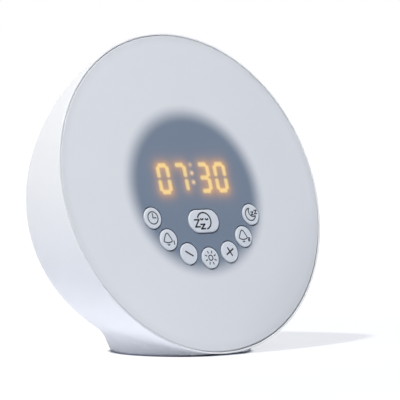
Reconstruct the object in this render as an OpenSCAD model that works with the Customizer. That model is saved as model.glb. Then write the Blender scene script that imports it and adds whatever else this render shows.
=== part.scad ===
// Sunrise alarm clock: a round wake-up light with a domed frosted front, a seven-segment time
// display and eight push buttons, standing on a short round foot.
// Frame: millimetres, +Z up, the front looks along -Y, the clock rests on Z = 0.

/* [Shell] */
// Diameter of the shell at its front rim
rim_d = 170; // [160:1:185]
// Depth of the shell from its rim to its flat back
shell_depth = 65; // [62:1:72]
// Radius of the long curve of the flank
flank_r = 120; // [110:1:140]
// Angle at which the flank leaves the rim, in degrees
flank_taper = 5; // [3:0.5:7]
// Radius of the round edge between flank and back
back_edge_r = 9; // [6:0.5:11]
// Wall of the shell
shell_wall = 2.5; // [2:0.1:3]
// Backward lean of the whole head, in degrees
tilt = 17; // [15:0.5:18]
// Height of the rim's lowest point above the table
rim_lift = 0.9; // [0.8:0.05:1.2]

/* [Foot] */
// Diameter of the foot at its sole
foot_d = 72; // [71:0.5:76]
// Distance of the foot's centre in front of the shell's back
foot_in = 32.4; // [31.8:0.1:33.2]
// Flare of the foot's side from the vertical, in degrees
foot_flare = 23.5; // [18:0.5:28]
// Height of the foot's flared side
foot_h = 15; // [12:0.5:18]
// Setback of the foot's front behind the rim
foot_setback = 3; // [2:0.5:5]
// Thickness of the sole
sole_t = 2.4; // [2.4:0.1:3]
// Radius of one rubber pad
pad_r = 4; // [3:0.25:4.25]
// Thickness of one rubber pad
pad_t = 1.5; // [1:0.1:2]
// How far a pad stands out of the sole
pad_proud = 0.5; // [0.3:0.1:0.7]
// Distance of the front pads in front of the foot's centre
front_pad_reach = 25; // [23.5:0.1:25.5]
// Half the distance between the front pads
front_pad_x = 18; // [16:0.25:18.5]
// Distance of the rear pads behind the foot's centre
rear_pad_reach = 25.2; // [24.6:0.1:26]
// Half the distance between the rear pads
rear_pad_x = 14; // [12:0.25:15]

/* [Front lens] */
// Width of the white lip that shows around the lens
lip_w = 0.9; // [0.8:0.1:1.2]
// Gap between the lens and the lip
lens_gap = 0.2; // [0.1:0.05:0.3]
// Rise of the lens at its middle
lens_rise = 3.2; // [2:0.1:5]
// Thickness of the lens
lens_t = 2; // [1.6:0.1:2.4]
// Depth of the lens edge behind the rim
lens_edge_t = 3; // [2.6:0.1:3.4]
// Radial distance from the lens edge to its skirt
skirt_inset = 3; // [2.8:0.1:3.6]
// Wall of the skirt
skirt_t = 1.7; // [1.4:0.1:2]
// Depth of the skirt behind the rim
skirt_depth = 7; // [6:0.2:7.2]

/* [Buttons] */
// Radius of the arc that the round buttons stand on
button_arc_r = 35.6; // [34.5:0.1:35.8]
// Gap between the flanges of two neighbouring round buttons
button_space = 0.29; // [0.25:0.01:0.4]
// Radius of a round button
button_r = 5.75; // [5.3:0.05:5.9]
// Drop of the snooze button below the centre
snooze_drop = 16.3; // [15.8:0.1:16.5]
// Length of the snooze button
snooze_l = 20.5; // [19:0.25:21]
// Height of the snooze button
snooze_h = 12.5; // [11.5:0.25:12.75]
// Gap around a button
button_gap = 0.3; // [0.25:0.05:0.4]
// How far a button stands out of the lens
button_proud = 0.45; // [0.3:0.05:0.7]
// Travel of a button
button_travel = 0.7; // [0.4:0.05:0.8]
// Width of the flange that keeps a button in
flange_w = 1.05; // [0.9:0.05:1.1]
// Thickness of that flange
flange_t = 1.2; // [1:0.1:1.4]
// Radius of a button's stem
stem_r = 2; // [1.8:0.1:2.4]

/* [Display] */
// Width of the display block
display_w = 50.4; // [48:0.2:51]
// Height of the display block
display_h = 19; // [18:0.25:19.5]
// Height of the display's middle above the centre
display_up = 6.8; // [6.6:0.1:7.2]
// Gap between the display and the lens
display_gap = 0.7; // [0.5:0.05:0.9]
// Height of a digit between the middles of its top and bottom bars
digit_h = 14.5; // [13:0.25:15]
// Width of a digit between the middles of its upright bars
digit_w = 6.2; // [5.5:0.1:6.6]
// Distance between the two digits of a pair
digit_pitch = 11; // [10:0.1:11.4]
// Distance between the two inner digits
pair_pitch = 15.6; // [15:0.1:16]
// Width of one bar of a digit
bar_w = 1.7; // [1.3:0.05:1.9]
// Gap between the ends of two bars
bar_gap = 0.35; // [0.25:0.05:0.5]
// Depth of a bar's pocket
bar_depth = 1; // [0.6:0.1:1.4]
// Radius of a colon dot
dot_r = 0.95; // [0.7:0.05:1.1]
// Distance between the colon dots
dot_pitch = 4.8; // [4:0.1:5.5]

/* [Display carrier] */
// Width of the dark carrier that shows outside the round buttons
carrier_margin = 0.15; // [0.1:0.05:0.4]
// Slope of the carrier's front edge, back and out
carrier_slope = 3; // [2.6:0.1:3.2]
// Wall of the carrier's tower
carrier_wall = 1.6; // [1.4:0.1:1.8]
// Thickness of the carrier's front plate
carrier_t = 2.2; // [1.8:0.1:2.4]
// Depth of the control board's front behind the rim
control_z = 9; // [8.8:0.1:9.4]
// Width of the flange around the back of the carrier's tower
carrier_flange_w = 3; // [2.8:0.1:3.3]
// Reach of the flange's four lugs beyond it
carrier_lug_l = 4; // [3.8:0.1:4.6]
// Width of a lug
carrier_lug_w = 8; // [7:0.5:9]

/* [Light tray] */
// Depth of the tray's floor behind the rim
tray_z = 20; // [19:0.2:21]
// Thickness of the tray
tray_t = 2; // [1.6:0.1:2.4]
// Distance of the tray's flat floor inside its rim
tray_inset = 5.5; // [5:0.1:6]
// Radius of one of the tray's screw pillars
pillar_r = 4; // [3.6:0.1:4.2]
// Length of a pillar behind the tray
pillar_l = 22; // [20:0.5:23]
// Inner radius of the light board
led_board_in = 50; // [49:0.5:54]
// Distance of the light board's edge inside the tray's flat floor
led_board_inset = 3; // [2.5:0.1:4]
// Number of light chips
led_count = 24; // [16:1:30]
// Side of a light chip
led_side = 4.5; // [3:0.1:5]
// Thickness of a circuit board
board_t = 1.6; // [1.2:0.1:1.6]

/* [Main board] */
// Width of the main board
main_w = 84; // [80:1:84]
// Height of the main board
main_h = 52; // [50:1:53]
// Depth of the main board's front behind the rim
main_z = 32; // [31:0.5:33]

/* [Speaker] */
// Radius of the speaker's flange
speaker_r = 20; // [18:0.25:20.5]
// Depth of the speaker in front of the back wall
speaker_depth = 16; // [15:0.25:17]
// Radius of the speaker's magnet
magnet_r = 11; // [9:0.25:12]
// Radius of one hole in the speaker grille
grille_hole_r = 1.2; // [0.8:0.05:1.4]
// Distance between two rings of grille holes
grille_pitch = 4.6; // [4:0.1:4.8]
// Number of rings of grille holes
grille_rings = 3; // [2:1:3]

/* [Power inlet] */
// Radius of the inlet's hole in the back
inlet_r = 4; // [3.8:0.1:4.4]
// Distance of the inlet inside the round edge of the back
inlet_inset = 8.4; // [8:0.1:10]
// Radius of the socket for the power plug
socket_r = 2.8; // [2.7:0.05:3]
// Radius of the socket's centre pin
centre_pin_r = 1; // [0.8:0.05:1.2]
// Depth of the socket
socket_depth = 9.5; // [9:0.25:10]

/* [Battery compartment] */
// Length of one backup cell over its contacts
cell_l = 44.5; // [44:0.1:45]
// Radius of one backup cell
cell_r = 5.2; // [5:0.05:5.25]
// Inner length of the compartment
bay_l = 48.8; // [48.4:0.1:49.2]
// Inner width of the compartment
bay_w = 22.8; // [22.4:0.1:23]
// Gap between the compartment's opening and the rear pads
bay_gap = 1; // [0.8:0.1:1.2]
// Wall of the compartment
bay_wall = 1.4; // [1:0.1:1.5]
// Thickness of the battery door
door_t = 2; // [1.8:0.1:2.2]
// Gap around the battery door
door_gap = 0.2; // [0.15:0.05:0.3]
// Radius of the door's hinge barrel
barrel_r = 1.2; // [1.1:0.05:1.2]
// Radius of a hinge pin
hinge_pin_r = 0.7; // [0.6:0.05:0.75]
// Running clearance of a hinge pin, on the radius
hinge_fit = 0.05; // [0.03:0.01:0.08]

/* [Screws] */
// Radius of a case screw's shank
case_shank_r = 1.4; // [1.2:0.05:1.5]
// Length of a case screw's shank
case_screw_l = 16; // [12:0.5:18]
// Radius of a small screw's shank
small_shank_r = 0.9; // [0.8:0.05:1]
// Length of a small screw's shank
small_screw_l = 5; // [4:0.25:5.5]
// Clearance of a screw's shank in its hole, on the radius
screw_fit = 0.05; // [0.03:0.01:0.1]

/* [Hidden] */
$fn = 96;
fine = 180;
eps = 0.01;
rim_r = rim_d / 2;
pad_sink = pad_t - pad_proud;
sole_z = pad_proud;
floor_z = sole_z + sole_t;
foot_r = foot_d / 2;
face_h = rim_lift + rim_r * cos(tilt);

// Flank curve and back edge, as [radius, height along the face axis]
flank_c = [rim_r - flank_r * cos(flank_taper), flank_r * sin(flank_taper)];
edge_c_z = back_edge_r - shell_depth;
join_a = asin((edge_c_z - flank_c[1]) / (flank_r - back_edge_r));
edge_c = [flank_c[0] + (flank_r - back_edge_r) * cos(join_a), edge_c_z];
back_in_z = shell_wall - shell_depth;

// Front to back extent, which puts the middle of the clock over the origin
front_y = -rim_r * sin(tilt);
rear_y = edge_c[0] * sin(tilt) - edge_c_z * cos(tilt) + back_edge_r;
face_y = -(front_y + rear_y) / 2;

// Shell's back at the height of the sole, and what stands in front of it
sole_back_y = face_y + (sole_z - face_h + shell_depth * sin(tilt)) * tan(tilt) + shell_depth * cos(tilt);
foot_y = sole_back_y - foot_in;
front_pad_y = foot_y - front_pad_reach;
rear_pad_y = foot_y + rear_pad_reach;
pad_places = [[-front_pad_x, front_pad_y], [front_pad_x, front_pad_y],
    [-rear_pad_x, rear_pad_y], [rear_pad_x, rear_pad_y]];
pad_fit = 0.1;

// Lens
recess_r = rim_r - lip_w;
lens_r = recess_r - lens_gap;
dome_r = (lens_r * lens_r + lens_rise * lens_rise) / (2 * lens_rise);
skirt_r = lens_r - skirt_inset;
skirt_in_r = skirt_r - skirt_t;
ledge_w = 1.2;
ledge_r = lens_r - ledge_w;
ledge_end_z = -skirt_depth - 2;
seat_gap = 0.2;

// Buttons
function lens_z(r) = lens_rise - dome_r + sqrt(dome_r * dome_r - r * r);
round_names = ["clock", "alarm_1", "minus", "light", "plus", "alarm_2", "sleep"];
button_step = 2 * asin((button_r + flange_w + button_space / 2) / button_arc_r);
button_edge = 0.4;
function round_at(i) = let (a = -90 + button_step * (i - 3)) [button_arc_r * cos(a), button_arc_r * sin(a)];
snooze_at = [0, -snooze_drop];
button_top = lens_z(button_arc_r) + button_proud;
snooze_top = lens_z(snooze_drop) + button_proud;
switch_side = 6;
switch_h = 3.5;
switch_floor_t = 1;
switch_top = switch_h - control_z;
plunger_r = 1.75;
plunger_fit = 0.2;
plunger_spare = 0.4;
plunger_top = switch_top + button_travel + plunger_spare;
plunger_l = 2.6;
flange_top = -carrier_t;

// Display
display_top = lens_rise - lens_t - display_gap;
display_at = [0, display_up];
digit_x = [-pair_pitch / 2 - digit_pitch, -pair_pitch / 2, pair_pitch / 2, pair_pitch / 2 + digit_pitch];
bar_fit = 0.03;
window_fit = 0.4;

// Tray, carrier and boards
carrier_r = button_arc_r + button_r + carrier_margin;
tower_r = carrier_r + carrier_slope;
tower_in_r = tower_r - carrier_wall;
carrier_flange_r = tower_r + carrier_flange_w;
carrier_lug_r = carrier_flange_r + carrier_lug_l;
tray_fit = 1;
tray_in_r = tower_r + tray_fit;
tray_floor_r = skirt_in_r - tray_inset;
tray_back = -tray_z - tray_t;
tray_rim_z = -lens_edge_t - seat_gap;
carrier_back = tray_back - tray_t;
led_board_z = board_t - tray_z;
led_board_out = tray_floor_r - led_board_inset;
led_ring_r = (led_board_in + led_board_out) / 2;
pillar_gap = 0.5;
pillar_at = carrier_flange_r + pillar_gap + pillar_r;
pillar_back = tray_back - pillar_l;
boss_wall = 1.5;
boss_r = pillar_r + boss_wall;
boss_floor_t = 6;
boss_fit = 0.3;
head_bore_r = 3.6;
case_head_r = 3;
case_head_t = 2.2;
case_spare = 1;
small_head_r = 1.9;
small_head_t = 1.2;
hole_fit = 0.2;
post_r = 2.5;
main_post_r = 2.8;
board_fit = 0.5;
control_r = tower_in_r - board_fit;
control_back = -control_z - board_t;
control_posts = [[28, 21], [-28, 21], [17, -19], [-17, -19]];
main_back = -main_z - board_t;
main_post_in = [3.45, 3.75];
main_post_at = [main_w / 2 - main_post_in[0], main_h / 2 - main_post_in[1]];
main_posts = [for (sx = [-1, 1], sy = [-1, 1]) [sx * main_post_at[0], sy * main_post_at[1]]];
lug_screw_in = 2.9;
flange_screw_r = carrier_lug_r - lug_screw_in;
led_screw_in = 4;
led_screw_r = led_board_out - led_screw_in;
led_screw_a = 22.5;
led_chip_t = 1;

// Parts on the main board, each measured from the board's own edges
processor_side = 12;
processor_t = 1.6;
processor_in = [18, 22];
can_size = [16, 14, 2.8];
can_in = [16, 23];
amplifier_size = [6, 5, 1.5];
amplifier_in = [32, 11];
capacitor_r = 3.2;
capacitor_h = 8;
capacitor_up = 11;
capacitor_in = [12, 21];
capacitor_x = [capacitor_in[0] - main_w / 2, capacitor_in[1] - main_w / 2, main_w / 2 - can_in[0]];
crystal_size = [11, 4.5, 3.5];
crystal_in = [18, 10];

// Speaker
gasket_t = 1;
speaker_flange_t = 1.2;
basket_inset = 3;
basket_r = speaker_r - basket_inset;
basket_back_r = magnet_r + 1;
speaker_top = back_in_z + speaker_depth;
speaker_z = back_in_z + gasket_t;
magnet_t = 6;
basket_wall = 1.2;
basket_t = 1;
clamp_post_r = 2.8;
clamp_gap = 0.7;
clamp_at = speaker_r + clamp_gap + clamp_post_r;
clamp_head_r = 4;
clamp_post_h = gasket_t + speaker_flange_t;
terminal_in = 1.4;
terminal_y = speaker_r - terminal_in;
locator_fit = 0.2;
locator_t = 1.8;
cone_cap_r = 5;
cone_cap_up = 5.5;
cone_flat_w = 2;
cone_t = 0.8;
cone_seat = 0.2;

// Inlet
inlet_body = [9, 11, 14];
inlet_fit = 0.15;
inlet_set = 0.4;
inlet_drop = edge_c[0] - inlet_inset;

// Battery bay, measured along the table
bay_y = rear_pad_y - pad_r - bay_gap - bay_w / 2;
door_l = bay_l - 2 * door_gap;
barrel_z = sole_z + barrel_r;
barrel_y = bay_y - bay_w / 2 + door_gap + barrel_r;
door_rear_y = bay_y + bay_w / 2 - door_gap;
hinge_pin_l = 1.2;
cell_lift = 0.5;
cell_z = sole_z + 2 * barrel_r + cell_lift + cell_r;
cell_space = 0.5;
cell_pitch = 2 * cell_r + cell_space;
cell_room = 0.6;
bay_roof_z = cell_z + cell_r + cell_room;
bay_top = bay_roof_z + bay_wall;
contact_t = 0.5;
contact_size = [8, 9];
contact_spring_r = 2.2;
nub_l = 1;
nub_r = 1.9;
grip_l = 12;
grip_w = 0.7;
grip_pitch = 1.5;
grip_deep = 0.4;
grip_in = 3;

// Ribbon leads
lead_t = 1;
socket_h = 3;
display_plug_y = 24;
display_plug_w = 14;
led_lead_x = 18;
lead_w = 4;
plug_w = 7;
plug_d = 4;
plug_gap = 0.5;
led_plug_y = 52;
plug_in = 5;
upper_plug_in = 8;
upper_plug_y = main_h / 2 - upper_plug_in;
rear_plug_y = main_h / 2 - plug_in;
lower_plug_y = plug_in - main_h / 2;
battery_lead_x = 14;
lead_up = 1.5;
lead_run = 6;
led_lead_run = 2;
speaker_lead_run = 8;
inlet_lead_run = 4;

// Points of an arc, from one angle to another
function arc(c, r, a0, a1, n) = [for (i = [0 : n]) let (a = a0 + (a1 - a0) * i / n) c + r * [cos(a), sin(a)]];

// Outline of the flank at a distance inside the outer skin, closed on the axis
function bowl(inside) = concat([[0, 0]],
    arc(flank_c, flank_r - inside, -flank_taper, join_a, 20),
    arc(edge_c, back_edge_r - inside, join_a, -90, 6),
    [[0, inside - shell_depth]]);

// Dome of the lens at a depth below its outer surface, from the axis to a radius
function dome(down, r, n) = [for (i = [0 : n]) let (x = r * i / n) [x, lens_z(x) - down]];

// Band of constant thickness along a bent path in the plane of height and depth
function unit(v) = v / norm(v);
function side(v) = [-v[1], v[0]];
function mitre(p, i) =
    let (last = len(p) - 1,
        before = unit(p[max(i, 1)] - p[max(i, 1) - 1]),
        after = unit(p[min(i, last - 1) + 1] - p[min(i, last - 1)]),
        middle = side(unit(before + after)))
    middle / (middle * side(before));
function band(p, t) = concat(
    [for (i = [0 : len(p) - 1]) p[i] + mitre(p, i) * t / 2],
    [for (i = [len(p) - 1 : -1 : 0]) p[i] - mitre(p, i) * t / 2]);

// Place in the upright frame of a point given as [height, depth] on the leaning face
function upright(p) = [face_y + p[0] * sin(tilt) - p[1] * cos(tilt), face_h + p[0] * cos(tilt) + p[1] * sin(tilt)];

// Puts a shape drawn on the face, with Z as its outward normal, into the upright frame
module on_face() {
    translate([0, face_y, face_h])
        rotate([90 - tilt, 0, 0])
            children();
}

// A tube or solid of revolution between two heights
module drum(r, z0, z1) {
    translate([0, 0, min(z0, z1)])
        cylinder(r = r, h = abs(z1 - z0));
}

module ring(r_out, r_in, z0, z1) {
    difference() {
        drum(r_out, z0, z1);
        drum(r_in, min(z0, z1) - 1, max(z0, z1) + 1);
    }
}

module pill(l, h, z0, z1) {
    translate([0, 0, min(z0, z1)])
        linear_extrude(abs(z1 - z0)) {
            square([l - h, h], center = true);
            for (sx = [-1, 1])
                translate([sx * (l - h) / 2, 0])
                    circle(r = h / 2);
        }
}

module block(w, h, z0, z1) {
    translate([-w / 2, -h / 2, min(z0, z1)])
        cube([w, h, abs(z1 - z0)]);
}

// A screw whose head rests on a face at a height and whose shank runs up from it
module screw(shank_r, shank_l, head_r, head_t, seat) {
    drum(shank_r, seat - eps, seat + shank_l);
    drum(head_r, seat - head_t, seat);
}

module at_pillars() {
    for (a = [45 : 90 : 315])
        rotate(a)
            translate([pillar_at, 0, 0])
                rotate(-a)
                    children();
}

module at_clamps() {
    for (a = [30 : 120 : 270])
        rotate(a)
            translate([clamp_at, 0, 0])
                children();
}

module at_each(places) {
    for (p = places)
        translate([p[0], p[1], 0])
            children();
}

// Shape that each button passes through, widened by a margin
module button_shafts(margin, z0, z1) {
    for (i = [0 : len(round_names) - 1])
        translate([round_at(i)[0], round_at(i)[1], 0])
            drum(button_r + margin, z0, z1);
    translate([snooze_at[0], snooze_at[1], 0])
        pill(snooze_l + 2 * margin, snooze_h + 2 * margin, z0, z1);
}

// ---- Shell ----

module foot_cone(inside, z0) {
    h = foot_h - z0;
    r0 = foot_r + (z0 - sole_z) * tan(foot_flare) - inside;
    translate([0, foot_y, z0])
        cylinder(r1 = r0, r2 = r0 + h * tan(foot_flare), h = h, $fn = fine);
}

// Slab across the clock between two depths behind the rim
module face_slab(front, back) {
    on_face()
        block(3 * rim_d, 3 * rim_d, -front, -back);
}

module above(z) {
    translate([-rim_d, -rim_d, z])
        cube([2 * rim_d, 2 * rim_d, 2 * rim_d]);
}

module shell_outside() {
    intersection() {
        union() {
            on_face()
                rotate_extrude($fn = fine)
                    polygon(bowl(0));
            intersection() {
                foot_cone(0, sole_z);
                face_slab(foot_setback, shell_depth);
            }
        }
        above(sole_z);
    }
}

module shell_inside() {
    intersection() {
        union() {
            on_face()
                intersection() {
                    rotate_extrude($fn = fine)
                        polygon(bowl(shell_wall));
                    union() {
                        drum(ledge_r, 1, ledge_end_z);
                        drum(rim_r, ledge_end_z + eps, -shell_depth);
                    }
                }
            intersection() {
                foot_cone(shell_wall, floor_z);
                face_slab(foot_setback + 2 * shell_wall, shell_depth - shell_wall);
            }
        }
        above(floor_z);
    }
}

module shell_bosses() {
    on_face() {
        intersection() {
            at_pillars()
                drum(boss_r, pillar_back, back_in_z - eps);
            rotate_extrude($fn = fine)
                polygon(bowl(0));
        }
        at_clamps()
            drum(clamp_post_r, back_in_z - eps, back_in_z + clamp_post_h);
        ring(speaker_r + locator_fit + locator_t, speaker_r + locator_fit, back_in_z - eps, speaker_z);
    }
}

module grille_holes() {
    drum(grille_hole_r, -shell_depth - 1, back_in_z + 1);
    for (ring_no = [1 : grille_rings])
        for (i = [0 : 6 * ring_no - 1])
            rotate(360 * i / (6 * ring_no))
                translate([ring_no * grille_pitch, 0, 0])
                    drum(grille_hole_r, -shell_depth - 1, back_in_z + 1);
}

module rear_shell() {
    color("white")
        difference() {
            union() {
                difference() {
                    shell_outside();
                    shell_inside();
                    on_face()
                        drum(recess_r, 1, -lens_edge_t);
                }
                shell_bosses();
            }
            on_face() {
                at_pillars() {
                    drum(case_shank_r + boss_fit, pillar_back + 1, -shell_depth - 1);
                    drum(head_bore_r, pillar_back - boss_floor_t, -shell_depth - 1);
                }
                at_clamps()
                    drum(small_shank_r + screw_fit, back_in_z + clamp_post_h + 1, back_in_z - 1);
                grille_holes();
                translate([0, -inlet_drop, 0])
                    drum(inlet_r + inlet_fit, -shell_depth - 1, back_in_z + 1);
            }
            translate([-bay_l / 2, bay_y - bay_w / 2, sole_z - 1])
                cube([bay_l, bay_w, sole_t + 2]);
            translate([-bay_l / 2 - hinge_pin_l, barrel_y, barrel_z])
                rotate([0, 90, 0])
                    cylinder(r = hinge_pin_r + hinge_fit, h = bay_l + 2 * hinge_pin_l);
            at_pads()
                drum(pad_r + pad_fit, sole_z - 1, sole_z + pad_sink);
        }
}

module at_pads() {
    for (p = pad_places)
        translate([p[0], p[1], 0])
            children();
}

module foot_pads() {
    color("dimgray")
        at_pads()
            drum(pad_r, 0, pad_t);
}

// ---- Front ----

module diffuser_lens() {
    color("whitesmoke")
        on_face()
            difference() {
                rotate_extrude($fn = fine)
                    polygon(concat(dome(0, lens_r, 16),
                        [[lens_r, -lens_edge_t], [skirt_r, -lens_edge_t], [skirt_r, -skirt_depth],
                         [skirt_in_r, -skirt_depth], [skirt_in_r, lens_z(skirt_in_r) - lens_t]],
                        [for (i = [15 : -1 : 0]) dome(lens_t, skirt_in_r, 16)[i]]));
                button_shafts(button_gap, -carrier_t, lens_rise + 1);
            }
}

module light_tray() {
    color("white")
        on_face()
            difference() {
                union() {
                    rotate_extrude($fn = fine)
                        polygon([[tray_in_r, -tray_z], [tray_floor_r, -tray_z],
                            [skirt_in_r - tray_t, tray_rim_z], [skirt_in_r, tray_rim_z],
                            [skirt_in_r, -skirt_depth], [tray_floor_r + tray_t, tray_back],
                            [tray_in_r, tray_back]]);
                    at_pillars()
                        drum(pillar_r, tray_back + eps, pillar_back);
                }
                at_pillars()
                    drum(case_shank_r + screw_fit, pillar_back - 1, pillar_back + case_screw_l);
                for (a = [0 : 90 : 270])
                    rotate(a)
                        translate([flange_screw_r, 0, 0])
                            drum(small_shank_r + screw_fit, tray_back - 1, -tray_z + 1);
                for (a = [0 : 90 : 270])
                    rotate(a + led_screw_a)
                        translate([led_screw_r, 0, 0])
                            drum(small_shank_r + screw_fit, tray_back - 1, -tray_z + 1);
                translate([led_lead_x, led_plug_y, 0])
                    block(plug_w + 2 * plug_gap, plug_d + 2 * plug_gap, tray_back - 1, -tray_z + 1);
            }
}

module display_carrier() {
    color([0.3, 0.32, 0.36])
        on_face()
            difference() {
                union() {
                    rotate_extrude($fn = fine)
                        polygon([[0, 0], [carrier_r, 0], [tower_r, -carrier_slope], [tower_r, tray_back],
                            [carrier_flange_r, tray_back], [carrier_flange_r, carrier_back],
                            [tower_in_r, carrier_back], [tower_in_r, -carrier_t], [0, -carrier_t]]);
                    for (a = [0 : 90 : 270])
                        rotate(a)
                            translate([(tower_r + carrier_lug_r) / 2, 0, 0])
                                block(carrier_lug_r - tower_r, carrier_lug_w, tray_back, carrier_back);
                    at_each(control_posts)
                        drum(post_r, -carrier_t + eps, -control_z);
                    at_each(main_posts)
                        drum(main_post_r, carrier_back + eps, -main_z);
                }
                button_shafts(button_gap, -carrier_t - 1, 1);
                translate([display_at[0], display_at[1], 0])
                    block(display_w + window_fit, display_h + window_fit, -carrier_t - 1, 1);
                at_each(control_posts)
                    drum(small_shank_r + screw_fit, -control_z - 1, -control_z + small_screw_l);
                at_each(main_posts)
                    drum(small_shank_r + screw_fit, -main_z - 1, -main_z + small_screw_l);
                for (a = [0 : 90 : 270])
                    rotate(a)
                        translate([flange_screw_r, 0, 0])
                            drum(small_shank_r + hole_fit, carrier_back - 1, tray_back + 1);
            }
}

// ---- Buttons ----

module round_button(i) {
    color("gainsboro")
        on_face()
            translate([round_at(i)[0], round_at(i)[1], 0]) {
                rotate_extrude()
                    polygon([[0, button_top], [button_r - button_edge, button_top], [button_r, button_top - button_edge],
                        [button_r, flange_top], [button_r + flange_w, flange_top],
                        [button_r + flange_w, flange_top - flange_t], [stem_r, flange_top - flange_t],
                        [stem_r, plunger_top], [0, plunger_top]]);
            }
}

module button_snooze() {
    color("gainsboro")
        on_face()
            translate([snooze_at[0], snooze_at[1], 0]) {
                pill(snooze_l, snooze_h, flange_top - flange_t, snooze_top);
                pill(snooze_l + 2 * flange_w, snooze_h + 2 * flange_w, flange_top - flange_t, flange_top);
                drum(stem_r, flange_top - flange_t + eps, plunger_top);
            }
}

module plunger(at) {
    color("black")
        on_face()
            translate([at[0], at[1], 0])
                drum(plunger_r, plunger_top, plunger_top - plunger_l);
}

module button_clock() { round_button(0); }
module button_alarm_1() { round_button(1); }
module button_minus() { round_button(2); }
module button_light() { round_button(3); }
module button_plus() { round_button(4); }
module button_alarm_2() { round_button(5); }
module button_sleep() { round_button(6); }

module plunger_clock() { plunger(round_at(0)); }
module plunger_alarm_1() { plunger(round_at(1)); }
module plunger_minus() { plunger(round_at(2)); }
module plunger_light() { plunger(round_at(3)); }
module plunger_plus() { plunger(round_at(4)); }
module plunger_alarm_2() { plunger(round_at(5)); }
module plunger_sleep() { plunger(round_at(6)); }
module plunger_snooze() { plunger(snooze_at); }

module switch_bodies() {
    places = concat([for (i = [0 : len(round_names) - 1]) round_at(i)], [snooze_at]);
    color("silver")
        on_face()
            at_each(places)
                difference() {
                    block(switch_side, switch_side, -control_z, switch_top);
                    drum(plunger_r + plunger_fit, -control_z + switch_floor_t, switch_top + 1);
                }
}

// ---- Display ----

// One bar of a digit, pointed at both ends
module bar(l, spread) {
    w = bar_w / 2 + spread;
    e = l / 2 + spread;
    polygon([[-e, 0], [-e + w, w], [e - w, w], [e, 0], [e - w, -w], [-e + w, -w]]);
}

module digit(spread) {
    across = digit_w - 2 * bar_gap;
    along = digit_h / 2 - 2 * bar_gap;
    for (row = [-1 : 1])
        translate([0, row * digit_h / 2])
            bar(across, spread);
    for (sx = [-1, 1], sy = [-1, 1])
        translate([sx * digit_w / 2, sy * digit_h / 4])
            rotate(90)
                bar(along, spread);
}

module all_bars(spread, z0, z1) {
    translate([display_at[0], display_at[1], z0])
        linear_extrude(z1 - z0) {
            for (x = digit_x)
                translate([x, 0])
                    digit(spread);
            for (y = [-dot_pitch / 2, dot_pitch / 2, digit_h / 2])
                translate([0, y])
                    circle(r = dot_r + spread);
        }
}

module display_block() {
    color([0.12, 0.12, 0.14])
        on_face()
            difference() {
                translate([display_at[0], display_at[1], 0])
                    block(display_w, display_h, display_top, -control_z);
                all_bars(bar_fit, display_top - bar_depth, display_top + 1);
            }
}

module digit_bars() {
    color("orange")
        on_face()
            all_bars(0, display_top - bar_depth, display_top);
}

module control_board() {
    color("seagreen")
        on_face()
            difference() {
                drum(control_r, -control_z, control_back);
                at_each(control_posts)
                    drum(small_shank_r + hole_fit, -control_z + 1, control_back - 1);
            }
}

// ---- Light ----

module led_board() {
    color("white")
        on_face()
            difference() {
                ring(led_board_out, led_board_in, -tray_z, led_board_z);
                for (a = [0 : 90 : 270])
                    rotate(a + led_screw_a)
                        translate([led_screw_r, 0, 0])
                            drum(small_shank_r + hole_fit, -tray_z - 1, led_board_z + 1);
            }
}

module led_chips() {
    color("lightyellow")
        on_face()
            for (i = [0 : led_count - 1])
                rotate(360 * i / led_count)
                    translate([led_ring_r, 0, 0])
                        block(led_side, led_side, led_board_z, led_board_z + led_chip_t);
}

// ---- Main board ----

module main_board() {
    color("seagreen")
        on_face()
            difference() {
                block(main_w, main_h, -main_z, main_back);
                at_each(main_posts)
                    drum(small_shank_r + hole_fit, -main_z + 1, main_back - 1);
            }
}

module processor_chip() {
    color("black")
        on_face()
            translate([processor_in[0] - main_w / 2, main_h / 2 - processor_in[1], 0])
                block(processor_side, processor_side, main_back, main_back - processor_t);
}

module radio_can() {
    color("silver")
        on_face()
            translate([main_w / 2 - can_in[0], main_h / 2 - can_in[1], 0])
                block(can_size[0], can_size[1], main_back, main_back - can_size[2]);
}

module amplifier_chip() {
    color("black")
        on_face()
            translate([amplifier_in[0] - main_w / 2, main_h / 2 - amplifier_in[1], 0])
                block(amplifier_size[0], amplifier_size[1], main_back, main_back - amplifier_size[2]);
}

module capacitors() {
    color("midnightblue")
        on_face()
            for (x = capacitor_x)
                translate([x, capacitor_up - main_h / 2, 0])
                    drum(capacitor_r, main_back, main_back - capacitor_h);
}

module clock_crystal() {
    color("silver")
        on_face()
            translate([crystal_in[0] - main_w / 2, main_h / 2 - crystal_in[1], 0])
                block(crystal_size[0], crystal_size[1], main_back, main_back - crystal_size[2]);
}

module lead_sockets() {
    color("ivory")
        on_face() {
            translate([0, display_plug_y, 0])
                block(display_plug_w + 4 * plug_gap, plug_d, control_back, control_back - socket_h);
            translate([0, upper_plug_y, 0])
                block(display_plug_w + 4 * plug_gap, plug_d, -main_z, -main_z + socket_h);
            translate([led_lead_x, led_plug_y, 0])
                block(plug_w, plug_d, -tray_z, tray_back - socket_h);
            translate([led_lead_x, upper_plug_y, 0])
                block(plug_w, plug_d, -main_z, -main_z + socket_h);
            for (p = [[0, rear_plug_y], [0, lower_plug_y], [battery_lead_x, lower_plug_y]])
                translate([p[0], p[1], 0])
                    block(plug_w, plug_d, main_back, main_back - socket_h);
        }
}

// ---- Leads, each a flat ribbon that bends in one plane ----

module lead_in_plane(path, x, w) {
    translate([x - w / 2, 0, 0])
        rotate([90, 0, 90])
            linear_extrude(w)
                polygon(band(path, lead_t));
}

module display_lead() {
    color("gray")
        on_face()
            lead_in_plane([[display_plug_y, control_back - socket_h], [display_plug_y, control_back - lead_run],
                [upper_plug_y, -main_z + lead_run], [upper_plug_y, -main_z + socket_h]], 0, display_plug_w);
}

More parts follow.
